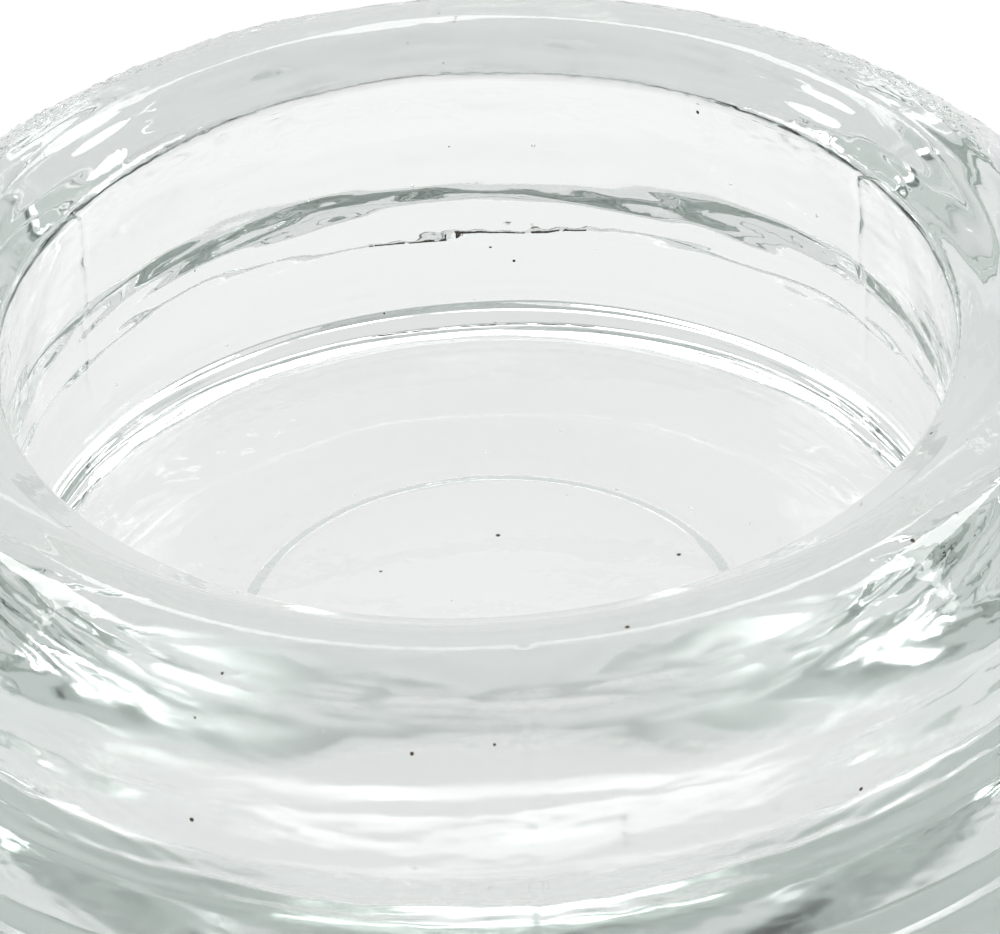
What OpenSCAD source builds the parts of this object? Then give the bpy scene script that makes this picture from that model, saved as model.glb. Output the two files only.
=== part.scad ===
// Pressed glass cup insulator for the foot or castor of a heavy instrument or piece of furniture.
// One moulding in clear glass: a deep round recess, a thick rounded rim and a wider flange that
// spreads the load. The origin is the centre of the foot, on the floor, and +Z points up.

/* [Overall] */
// Diameter over the flange
flange_d = 98; // [96:0.5:112]
// Height from the floor to the crest of the rim
height = 29.8; // [29:0.1:34]

/* [Recess] */
// Diameter of the recess at its mouth, before the edge is rounded
mouth_d = 64; // [61:0.2:65]
// Depth of the recess, from the crest of the rim to the flat floor
recess_depth = 22.6; // [19:0.1:24]
// How much narrower the recess is at the foot of its wall, for the plunger to draw
recess_draft = 1.4; // [0.6:0.1:3]
// Radius of the cove between the wall and the flat floor
cove_r = 2.6; // [1:0.1:4]

/* [Rim] */
// Diameter of the middle of the rim's crest
crest_d = 75.2; // [74.6:0.2:77]
// Drop of the rim from its crest to the mouth
mouth_drop = 2.2; // [1.6:0.1:3]
// Round on the inner edge of the rim, at the mouth
mouth_r = 1; // [0.5:0.1:1.5]
// Outer diameter of the wall where the rim slopes down to it
wall_top_d = 90; // [88:0.2:91]
// Drop of the rim from its crest to the top of the wall
wall_drop = 5.1; // [4.5:0.1:6]
// Round between the rim and the outside of the wall
rim_outer_r = 5; // [2:0.1:6]

/* [Flange] */
// Height of the flange at its outer edge
flange_h = 10.2; // [9.8:0.1:11]
// Round on the upper edge of the flange
flange_edge_r = 0.8; // [0.4:0.1:1]
// Outer diameter of the wall at its foot, where it meets the sloping top of the flange
wall_foot_d = 92.4; // [91:0.2:93]
// Height of that meeting
shoulder_h = 13.2; // [12.6:0.1:15]
// Round in the hollow between the wall and the flange
shoulder_r = 1.5; // [0.6:0.1:2.2]
// Height of the line where the two halves of the mould met
parting_h = 7.8; // [5:0.1:8.2]
// Step in the side of the flange at that line
parting_step = 0.2; // [0.1:0.05:0.4]

/* [Foot] */
// Round between the foot and the side of the flange
foot_r = 1.8; // [1:0.1:2.5]
// Diameter of the shallow hollow that the mould's valve left under the foot
hollow_d = 34.4; // [28:0.2:40]
// Depth of that hollow
hollow_depth = 0.8; // [0.4:0.1:1.2]

/* [Hidden] */
$fn = 180;

floor_z = height - recess_depth;
recess_foot_r = (mouth_d - recess_draft) / 2;
outer_r = flange_d / 2;
crest_half_w = 1.8;
crest_inner_r = 4;
crest_outer_r = 4;
corner_r = 0.6;
round_step = 12;

// Corners of half the cross-section: distance from the axis, height, and the radius of the round.
// They run from the centre of the underside outwards, up the side and back down into the recess.
SECTION = [
  [0, hollow_depth, 0],
  [hollow_d / 2 - hollow_depth, hollow_depth, corner_r],
  [hollow_d / 2, 0, corner_r],
  [outer_r, 0, foot_r],
  [outer_r, parting_h, 0],
  [outer_r - parting_step, parting_h, 0],
  [outer_r - parting_step, flange_h, flange_edge_r],
  [wall_foot_d / 2, shoulder_h, shoulder_r],
  [wall_top_d / 2, height - wall_drop, rim_outer_r],
  [crest_d / 2 + crest_half_w, height, crest_outer_r],
  [crest_d / 2 - crest_half_w, height, crest_inner_r],
  [mouth_d / 2, height - mouth_drop, mouth_r],
  [recess_foot_r, floor_z, cove_r],
  [0, floor_z, 0],
];

function unit(v) = v / norm(v);
function corner(i) = [SECTION[i].x, SECTION[i].y];
function edge(i, j) = unit(corner(j) - corner(i));
function half_angle(i) = acos(edge(i, i - 1) * edge(i, i + 1)) / 2;
function bisector(i) = unit(edge(i, i - 1) + edge(i, i + 1));

// Centre of the round at a corner, and the radius from there to where it touches an edge
function centre(i) = corner(i) + bisector(i) * SECTION[i].z / sin(half_angle(i));
function spoke(i, j) = corner(i) + edge(i, j) * SECTION[i].z / tan(half_angle(i)) - centre(i);

// Points along the round at a corner, one every round_step degrees or closer
function round_points(i) =
  let (
    from = spoke(i, i - 1),
    to = spoke(i, i + 1),
    start = atan2(from.y, from.x),
    sweep = sign(cross(from, to)) * acos(unit(from) * unit(to)),
    steps = ceil(abs(sweep) / round_step)
  )
  [for (k = [0 : steps]) centre(i) + SECTION[i].z * [cos(start + sweep * k / steps), sin(start + sweep * k / steps)]];

module section() {
  polygon([for (i = [0 : len(SECTION) - 1]) each SECTION[i].z > 0 ? round_points(i) : [corner(i)]]);
}

module glass_cup() {
  color([0.86, 0.92, 0.89, 0.6]) rotate_extrude() section();
}

glass_cup();
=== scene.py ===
"""Looks of the pressed glass cup insulator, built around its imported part."""

import math

import bmesh
import bpy
import numpy as np
from mathutils import Matrix, Vector


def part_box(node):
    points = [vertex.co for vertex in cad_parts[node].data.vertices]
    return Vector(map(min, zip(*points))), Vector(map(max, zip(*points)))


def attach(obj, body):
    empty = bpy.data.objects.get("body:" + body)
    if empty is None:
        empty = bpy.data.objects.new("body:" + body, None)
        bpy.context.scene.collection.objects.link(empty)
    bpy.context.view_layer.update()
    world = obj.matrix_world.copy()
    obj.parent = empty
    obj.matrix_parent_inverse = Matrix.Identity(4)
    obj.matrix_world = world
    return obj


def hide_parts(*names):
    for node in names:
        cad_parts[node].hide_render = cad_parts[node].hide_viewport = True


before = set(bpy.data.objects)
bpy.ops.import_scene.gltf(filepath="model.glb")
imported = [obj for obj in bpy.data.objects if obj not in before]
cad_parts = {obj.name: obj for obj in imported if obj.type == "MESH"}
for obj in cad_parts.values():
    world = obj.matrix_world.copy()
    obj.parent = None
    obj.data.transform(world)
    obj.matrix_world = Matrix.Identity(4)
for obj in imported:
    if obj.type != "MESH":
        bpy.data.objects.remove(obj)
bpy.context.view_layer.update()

MM = 0.001
TURN = 2 * math.pi
LOW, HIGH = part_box("glass_cup")

# ---------------------------------------------------------------- sizes in mm
RADIUS = HIGH[0] / MM
HEIGHT = HIGH[2] / MM
# The side and the crest start this far inside the CAD's surface, which leaves room for the relief
ROOM = 0.1
SIDE_R = RADIUS - ROOM
UPPER_SIDE_R = SIDE_R - 0.3
CREST = HEIGHT - ROOM
CREST_OUTER_R = 39.4
CREST_INNER_R = 35.8
FLANGE_TOP = 10.2
PARTING = 7.8
PARTING_RISE = 0.15
SHOULDER_R = 46.2
SHOULDER = 13.2
RIM_EDGE_R = 45.0
RIM_EDGE = HEIGHT - 5.1
MOUTH_R = 32.0
MOUTH = HEIGHT - 2.2
RECESS_FOOT_R = 31.3
FLOOR = 7.2
HOLLOW_R = 17.2
HOLLOW_DEPTH = 0.8

# ---------------------------------------------------------------- cross-section
# Corners of half the section in mm: distance from the axis, height, radius of the round
SECTION = [
    (0.0, HOLLOW_DEPTH, 0.0),
    (HOLLOW_R - HOLLOW_DEPTH, HOLLOW_DEPTH, 0.4),
    (HOLLOW_R, 0.0, 0.4),
    (SIDE_R, 0.0, 1.8),
    (SIDE_R, PARTING, 0.0),
    (UPPER_SIDE_R, PARTING + PARTING_RISE, 0.0),
    (UPPER_SIDE_R, FLANGE_TOP, 0.8),
    (SHOULDER_R, SHOULDER, 1.5),
    (RIM_EDGE_R, RIM_EDGE, 5.0),
    (CREST_OUTER_R, CREST, 4.0),
    (CREST_INNER_R, CREST, 4.0),
    (MOUTH_R, MOUTH, 1.0),
    (RECESS_FOOT_R, FLOOR, 2.6),
    (0.0, FLOOR, 0.0),
]
AROUND = 768
STEP = 0.55
FINE_STEP = 0.22
ROUND_POINTS = 12


def unit(vector):
    return vector / np.linalg.norm(vector)


def rounded(corners):
    """Points of the section with an arc at each corner that has a radius."""
    points = []
    for i, (r, z, radius) in enumerate(corners):
        corner = np.array((r, z))
        if radius == 0:
            points.append(corner)
            continue
        back = np.array(corners[i - 1][:2]) - corner
        ahead = np.array(corners[i + 1][:2]) - corner
        reach = 0.9 * min(np.linalg.norm(back), np.linalg.norm(ahead))
        back = unit(back)
        ahead = unit(ahead)
        half = math.acos(np.clip(back @ ahead, -1, 1)) / 2
        touch = min(radius / math.tan(half), reach)
        radius = touch * math.tan(half)
        centre = corner + unit(back + ahead) * radius / math.sin(half)
        first = corner + back * touch - centre
        last = corner + ahead * touch - centre
        start = math.atan2(first[1], first[0])
        sweep = math.atan2(last[1], last[0]) - start
        sweep = (sweep + math.pi) % TURN - math.pi
        for k in range(ROUND_POINTS + 1):
            turn = start + sweep * k / ROUND_POINTS
            points.append(centre + radius * np.array((math.cos(turn), math.sin(turn))))
    return np.array(points)


def step_at(r, z):
    """The longest step allowed there: short on the rim, the upper wall and round the floor's corner."""
    above_parting = z > PARTING + 1 and r > 30
    floor_corner = 26 < r < 32 and z > 5
    return FINE_STEP if above_parting or floor_corner else STEP


def resampled(points):
    """The same line with no two points further apart than the step at the middle of each piece."""
    out = [points[0]]
    for a, b in zip(points[:-1], points[1:]):
        length = np.linalg.norm(b - a)
        if length < 1e-6:
            continue
        pieces = max(1, math.ceil(length / step_at(*(a + b) / 2)))
        out += [a + (b - a) * j / pieces for j in range(1, pieces + 1)]
    return np.array(out)


# The first pass cuts the long stretches, so that the second can choose its step along them
section = resampled(resampled(rounded(SECTION)))
along = np.concatenate([[0], np.cumsum(np.linalg.norm(np.diff(section, axis=0), axis=1))])
tangent = np.gradient(section, along, axis=0)
tangent /= np.linalg.norm(tangent, axis=1)[:, None]
outward = np.stack([tangent[:, 1], -tangent[:, 0]], axis=1)
out_r = outward[:, 0:1]
out_z = outward[:, 1:2]


def place_of(r, z):
    """Distance along the section of its point nearest to (r, z)."""
    return along[np.argmin(np.hypot(section[:, 0] - r, section[:, 1] - z))]


# ---------------------------------------------------------------- fields over the surface
# One row for each point of the section and one column for each bearing, all in mm and radians
A = (np.arange(AROUND) * TURN / AROUND)[None, :]
R = section[:, 0:1]
Z = section[:, 1:2]
S = along[:, None]
X = R * np.cos(A)
Y = R * np.sin(A)
ZZ = np.broadcast_to(Z, X.shape)
MEAN_RADIUS = 42


def smooth(low, high, value):
    t = np.clip((value - low) / (high - low), 0, 1)
    return t * t * (3 - 2 * t)


def between(low, high, soft, value):
    return smooth(low - soft, low + soft, value) * (1 - smooth(high - soft, high + soft, value))


def degrees_from(centre, half, soft):
    """1 within half degrees of the bearing, falling to 0 over the next soft degrees."""
    off = np.abs((np.degrees(A) - centre + 180) % 360 - 180)
    return 1 - smooth(half, half + soft, off)


def waves(seed, size, count=14):
    """A smooth random field, about -1 to 1, with features near size mm."""
    rng = np.random.default_rng(seed)
    field = np.zeros_like(X)
    for _ in range(count):
        way = unit(rng.normal(size=3))
        beat = TURN / (size * rng.uniform(0.7, 1.5))
        phase = rng.uniform(0, TURN)
        field += np.sin(beat * (way[0] * X + way[1] * Y + way[2] * ZZ) + phase)
    return field / math.sqrt(count / 2)


def streaks(seed, across, length, count=26):
    """A random field of streaks that run round the cup: their width and length in mm."""
    rng = np.random.default_rng(seed)
    field = np.zeros_like(X)
    for _ in range(count):
        beat = TURN / (across * rng.uniform(0.7, 1.6))
        n = round(rng.choice((-1, 1)) * TURN * MEAN_RADIUS / (length * rng.uniform(0.6, 1.6)))
        field += np.sin(beat * S + n * A + rng.uniform(0, TURN))
    return field / math.sqrt(count / 2)


def creases(field, sharpness):
    """Narrow ridges along the lines where a field changes sign."""
    return np.exp(-(field / sharpness) ** 2)


def wander(seed, amount, slow=2, fast=9):
    """A line's sideways wander around the cup, in mm."""
    rng = np.random.default_rng(seed)
    line = np.zeros_like(A)
    for n in range(slow, fast):
        line = line + rng.normal() / n * np.sin(n * A + rng.uniform(0, TURN))
    return amount * line


def groove(centre, width):
    """A line round the cup, 1 at its middle, at a distance along the section."""
    return np.exp(-((S - centre) / width) ** 2)


# ---------------------------------------------------------------- where each kind of relief lies, 0 to 1
facing_out = smooth(0.0, 0.3, out_r)
outer = facing_out * smooth(3, 6, Z)
rim = smooth(MOUTH - 1.0, MOUTH + 0.5, Z)
slope = facing_out * smooth(SHOULDER + 5, RIM_EDGE, Z)
low_wall = facing_out * between(FLANGE_TOP, RIM_EDGE - 2, 1.0, Z)
inner = (out_r < -0.3) * between(FLOOR + 2.2, MOUTH - 0.5, 0.8, Z)
off_axis = smooth(3, 9, R)
flat_floor = (np.abs(Z - FLOOR) < 0.3) * (out_z > 0.9) * off_axis
underside = (Z < 1.0) * (out_z < -0.5) * off_axis
front = degrees_from(-90, 55, 30)
rippled = low_wall * np.maximum(front, 0.15)
# Strongest at the back left and the back right, where the glass chilled against the mould
crinkled = np.maximum(degrees_from(126, 16, 10), degrees_from(43, 14, 9))
crinkled = np.maximum(crinkled, 0.16 - 0.13 * front) * slope

shoulder_at = place_of(SHOULDER_R, SHOULDER)
parting_at = place_of(SIDE_R, PARTING)
mouth_at = place_of(32.6, MOUTH)
cove_at = place_of(31.2, 9.3)
ring_at = place_of(28.6, FLOOR)
hollow_at = place_of(HOLLOW_R, 0.0)

# ---------------------------------------------------------------- surface of a hand pressing
# Each layer: its height in mm, a field of its shape, and where it lies
LAYERS = (
    # Waves of the fire-polished outside, calmer at the front
    (0.040, waves(1, 16), np.maximum(outer, 0.6 * rim) * (1 - 0.6 * front)),
    (0.014, waves(2, 5), np.maximum(outer, 0.4 * rim) * (1 - 0.75 * front)),
    # Streaks along the rim, most of them at the back
    (0.010, streaks(17, 1.6, 34), rim * (1 - front)),
    (0.012, creases(streaks(18, 3.5, 60), 0.12), rim * degrees_from(92, 48, 20)),
    # Drag marks on the wall of the recess, and the unevenness of its floor and of the underside
    (0.026, streaks(3, 5, 45), inner),
    (0.006, streaks(4, 1.4, 14), inner),
    (0.005, waves(5, 6), flat_floor),
    (0.018, waves(6, 7), underside),
    # Crinkles of chilled glass
    (0.10, creases(streaks(11, 1.5, 6), 0.25), crinkled),
    (0.04, streaks(12, 0.9, 3.0), crinkled),
    (0.022, streaks(15, 1.1, 2.2), crinkled * smooth(0.3, 1.0, streaks(16, 5, 9))),
    # Small chips and dots along the mouth's edge
    (-0.03, smooth(0.5, 1.4, streaks(19, 3, 1.6)),
     groove(mouth_at + 0.2 + wander(37, 0.3), 0.5) * (1 - front)),
    # Ripples of the lower wall and the top of the flange
    (0.012, creases(streaks(13, 2.2, 10), 0.5), rippled),
    (0.005, streaks(14, 1.0, 4), rippled),
    # Two rings on the floor of the recess, the first of them speckled, and one round the hollow
    (0.06, groove(ring_at + 0.2 + wander(36, 0.2), 0.3), smooth(0.1, 0.9, np.abs(streaks(35, 1.0, 2.0)))),
    (0.02, groove(ring_at + 1.6, 0.7), 1),
    (-0.05, groove(hollow_at + 1.6, 1.1), 1),
)
relief = np.zeros_like(X)
for height, shape, where in LAYERS:
    relief += height * shape * where

# Laps that run round the lower wall: distance above the shoulder, height, width and stray in mm
LAPS = ((0.6, -0.05, 0.4, 0.3), (2.0, -0.08, 0.35, 0.5), (3.9, -0.10, 0.9, 0.5),
        (6.3, 0.16, 1.3, 0.5), (8.6, -0.06, 0.6, 0.7))
for k, (offset, height, width, stray) in enumerate(LAPS):
    path = offset + wander(20 + k, stray) + 0.8 * wander(60 + k, stray, 14, 50)
    relief += height * groove(shoulder_at + path, width) * low_wall * np.maximum(front, 0.12)

# The line where the two halves of the mould met, twisted like a rope at the back
ROPE_TURNS = 130
ROPE_LEAN = 3
twist = 0.5 + 0.5 * np.sin(ROPE_TURNS * A + ROPE_LEAN * (S - parting_at))
relief += (0.07 + 0.30 * twist * degrees_from(88, 9, 9)) * groove(parting_at + 0.1, 0.4)

# Fine steps where the plunger's edge met the floor, by their distance along the section in mm
for k, offset in enumerate((-1.3, -0.5, 0.35, 1.1)):
    relief += 0.045 * groove(cove_at + offset + wander(30 + k, 0.08, 3, 14), 0.2)

# Mould seams: bearing, and how far each fades to its sides, in degrees
for bearing, fade in ((43, 0.5), (137, 0.5), (-87, 0.35)):
    relief += 0.14 * degrees_from(bearing, 0.15, fade) * outer

# ---------------------------------------------------------------- mesh
r_all = (R + out_r * relief) * MM
points = np.stack([r_all * np.cos(A), r_all * np.sin(A), (Z + out_z * relief) * MM], axis=2)

mesh_builder = bmesh.new()
rings = []
for (r, z), ring_points in zip(section, points):
    if r < 1e-6:
        rings.append([mesh_builder.verts.new((0, 0, z * MM))] * AROUND)
    else:
        rings.append([mesh_builder.verts.new(p) for p in ring_points])
for low_ring, high_ring in zip(rings[:-1], rings[1:]):
    for k in range(AROUND):
        n = (k + 1) % AROUND
        corners = [low_ring[k], low_ring[n], high_ring[n], high_ring[k]]
        mesh_builder.faces.new(list(dict.fromkeys(corners)))


def add_seed(centre, radius):
    """A small closed void, with its faces turned towards the glass round it."""
    made = bmesh.ops.create_icosphere(mesh_builder, subdivisions=1, radius=radius,
                                      matrix=Matrix.Translation(centre))
    faces = {f for v in made["verts"] for f in v.link_faces}
    bmesh.ops.reverse_faces(mesh_builder, faces=list(faces))


# Seeds in the base or in the wall, all of them well inside the glass
SEEDS = 70
IN_THE_BASE = 0.45
rng = np.random.default_rng(77)
for _ in range(SEEDS):
    bearing = rng.uniform(0, TURN)
    if rng.random() < IN_THE_BASE:
        r, z = rng.uniform(2, 40), rng.uniform(2.2, FLOOR - 1.4)
    else:
        r, z = rng.uniform(33.5, 42), rng.uniform(3, HEIGHT - 6)
    centre = Vector((r * math.cos(bearing), r * math.sin(bearing), z)) * MM
    add_seed(centre, rng.uniform(0.06, 0.17) * MM)

cup_mesh = bpy.data.meshes.new("glass_cup_pressed")
mesh_builder.to_mesh(cup_mesh)
mesh_builder.free()
cup_mesh.polygons.foreach_set("use_smooth", [True] * len(cup_mesh.polygons))
cup = bpy.data.objects.new("glass_cup_pressed", cup_mesh)
bpy.context.scene.collection.objects.link(cup)


# ---------------------------------------------------------------- materials
def node_material(name):
    material = bpy.data.materials.new(name)
    material.use_nodes = True
    tree = material.node_tree
    return material, tree, tree.nodes["Principled BSDF"]


def add(tree, kind, **values):
    """A node with its settings and its inputs' values: a setting's name starts in lower case."""
    node = tree.nodes.new(kind)
    for key, value in values.items():
        if hasattr(node, key):
            setattr(node, key, value)
        else:
            node.inputs[key.replace("_", " ")].default_value = value
    return node


def maths(tree, operation, first, second, reach=0):
    """The output of a Math node on a socket and on a number or a second socket."""
    node = add(tree, "ShaderNodeMath", operation=operation)
    tree.links.new(first, node.inputs[0])
    if isinstance(second, (int, float)):
        node.inputs[1].default_value = second
        node.inputs[2].default_value = reach
    else:
        tree.links.new(second, node.inputs[1])
    return node.outputs[0]


glass, tree, shader = node_material("clear_pressed_glass")
shader.inputs["Base Color"].default_value = (1, 1, 1, 1)
shader.inputs["IOR"].default_value = 1.52
shader.inputs["Transmission Weight"].default_value = 1.0
absorb = add(tree, "ShaderNodeVolumeAbsorption", Color=(0.851, 0.878, 0.866, 1), Density=47.0)
tree.links.new(absorb.outputs[0], tree.nodes["Material Output"].inputs["Volume"])
where = add(tree, "ShaderNodeTexCoord")
split = add(tree, "ShaderNodeSeparateXYZ")
tree.links.new(where.outputs["Object"], split.inputs[0])

# The outside of the front is more worn than the rest
worn = add(tree, "ShaderNodeMapRange", interpolation_type="SMOOTHSTEP",
           From_Min=-0.028, From_Max=-0.040, To_Min=0.02, To_Max=0.19)
tree.links.new(split.outputs["Y"], worn.inputs["Value"])
tree.links.new(worn.outputs["Result"], shader.inputs["Roughness"])

# Orange peel
peel = add(tree, "ShaderNodeTexNoise", Scale=420.0, Detail=3.0, Roughness=0.55)
tree.links.new(where.outputs["Object"], peel.inputs["Vector"])
fine = add(tree, "ShaderNodeBump", Strength=1.0, Distance=0.000012)
tree.links.new(peel.outputs["Fac"], fine.inputs["Height"])
tree.links.new(fine.outputs["Normal"], shader.inputs["Normal"])

# Specks of dirt: small dark spots all over
SPECK_SIZE = 0.030
cells = add(tree, "ShaderNodeTexVoronoi", Scale=190.0)
tree.links.new(where.outputs["Object"], cells.inputs["Vector"])
speck = maths(tree, "LESS_THAN", cells.outputs["Distance"], SPECK_SIZE)

# A dark brown line in dashes, painted along the parting line at the back: half widths and limits in
# metres
spots = add(tree, "ShaderNodeTexNoise", Scale=900.0, Detail=2.0)
tree.links.new(where.outputs["Object"], spots.inputs["Vector"])
level = maths(tree, "COMPARE", split.outputs["Z"], PARTING * MM, 0.00014)
middle = maths(tree, "COMPARE", split.outputs["X"], 0.0005, 0.0095)
back = maths(tree, "GREATER_THAN", split.outputs["Y"], 0.042)
dashes = maths(tree, "GREATER_THAN", spots.outputs["Fac"], 0.44)
dark_line = maths(tree, "MULTIPLY", level, middle)
dark_line = maths(tree, "MULTIPLY", dark_line, back)
dark_line = maths(tree, "MULTIPLY", dark_line, dashes)

# A dark brown diffuse colour, mixed in at the specks of dirt and painted along the dark dashed line at
# the back
dirt_and_dark_line = add(tree, "ShaderNodeBsdfDiffuse", Color=(0.10, 0.08, 0.06, 1))
mix = add(tree, "ShaderNodeMixShader")
tree.links.new(maths(tree, "MAXIMUM", speck, dark_line), mix.inputs[0])
tree.links.new(shader.outputs[0], mix.inputs[1])
tree.links.new(dirt_and_dark_line.outputs[0], mix.inputs[2])
tree.links.new(mix.outputs[0], tree.nodes["Material Output"].inputs["Surface"])
cup_mesh.materials.append(glass)

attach(cup, "root")
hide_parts("glass_cup")

# ---------------------------------------------------------------- floor
FLOOR_SIZE = 6.0
FLOOR_GAP = 0.0002
floor_mesh = bpy.data.meshes.new("floor")
half = FLOOR_SIZE / 2
floor_corners = [(-half, -half, 0), (half, -half, 0), (half, half, 0), (-half, half, 0)]
floor_mesh.from_pydata(floor_corners, [], [(0, 1, 2, 3)])
floor = bpy.data.objects.new("floor", floor_mesh)
floor.location.z = LOW[2] - FLOOR_GAP
bpy.context.scene.collection.objects.link(floor)
paper, tree, shader = node_material("white_paper")
shader.inputs["Base Color"].default_value = (0.24, 0.24, 0.24, 1)
shader.inputs["Roughness"].default_value = 0.8
shader.inputs["Specular IOR Level"].default_value = 0.0
shader.inputs["Emission Color"].default_value = (1, 1, 1, 1)
shader.inputs["Emission Strength"].default_value = 0.735
floor_mesh.materials.append(paper)

# ---------------------------------------------------------------- light
# Grey levels of the room from the camera's side, at 0, to the far side, at 1
SKY = ((0.0, 0.36), (0.07, 0.48), (0.18, 0.66), (0.33, 0.80), (0.5, 0.86), (1.0, 0.95))
world = bpy.data.worlds.new("studio")
bpy.context.scene.world = world
world.use_nodes = True
tree = world.node_tree
where = add(tree, "ShaderNodeTexCoord")
split = add(tree, "ShaderNodeSeparateXYZ")
tree.links.new(where.outputs["Generated"], split.inputs[0])
spread = add(tree, "ShaderNodeMapRange", From_Min=-1, From_Max=1)
tree.links.new(split.outputs["Y"], spread.inputs["Value"])
ramp = add(tree, "ShaderNodeValToRGB")
for _ in SKY[2:]:
    ramp.color_ramp.elements.new(0.5)
for stop, (position, level) in zip(ramp.color_ramp.elements, SKY):
    stop.position = position
    stop.color = (level, level, level, 1)
tree.links.new(spread.outputs["Result"], ramp.inputs["Fac"])
tree.links.new(ramp.outputs["Color"], tree.nodes["Background"].inputs["Color"])
tree.nodes["Background"].inputs["Strength"].default_value = 1.0

# Softboxes: place in metres, power in watts, depth in metres
SOFTBOX_WIDTH = 0.5
SOFTBOXES = (((-0.8, 0.2, 0.9), 4.0, 0.35), ((0.8, 0.2, 0.9), 4.0, 0.35), ((0.0, 0.86, 0.98), 1.1, 0.16))
for place, power, depth in SOFTBOXES:
    data = bpy.data.lights.new("softbox", "AREA")
    data.energy = power
    data.shape = "RECTANGLE"
    data.size = SOFTBOX_WIDTH
    data.size_y = depth
    lamp = bpy.data.objects.new("softbox", data)
    bpy.context.scene.collection.objects.link(lamp)
    lamp.location = place
    aim = Vector((0, 0, 0.02)) - lamp.location
    lamp.rotation_euler = aim.to_track_quat("-Z", "Y").to_euler()

# ---------------------------------------------------------------- camera
CAMERA_DISTANCE = 0.640
CAMERA_ELEVATION = math.radians(34.19)
CAMERA_ROLL = math.radians(2.81)
CAMERA_TARGET = Vector((0, 0, 0.028))
CAMERA_YAW = -0.00248
CAMERA_PITCH = 0.01425
CAMERA_LENS = 345.6
forward = Vector((0, math.cos(CAMERA_ELEVATION), -math.sin(CAMERA_ELEVATION)))
right = Vector((1, 0, 0))
above = right.cross(forward)
turn = Matrix((right, above, -forward)).transposed()
turn = turn @ Matrix.Rotation(-CAMERA_ROLL, 3, "Z")
turn = turn @ Matrix.Rotation(math.atan(CAMERA_YAW), 3, "Y")
turn = turn @ Matrix.Rotation(-math.atan(CAMERA_PITCH), 3, "X")
camera_data = bpy.data.cameras.new("camera")
camera_data.sensor_width = 36
camera_data.lens = CAMERA_LENS
camera_data.clip_start = 0.01
camera_data.clip_end = 100
camera = bpy.data.objects.new("camera", camera_data)
camera.matrix_world = Matrix.Translation(CAMERA_TARGET - forward * CAMERA_DISTANCE) @ turn.to_4x4()
bpy.context.scene.collection.objects.link(camera)
bpy.context.scene.camera = camera

scene = bpy.context.scene
scene.view_settings.view_transform = "Standard"
scene.cycles.max_bounces = 14
scene.cycles.transmission_bounces = 14
scene.cycles.glossy_bounces = 8
scene.cycles.diffuse_bounces = 3

# ---------------------------------------------------------------- update
bpy.context.view_layer.update()
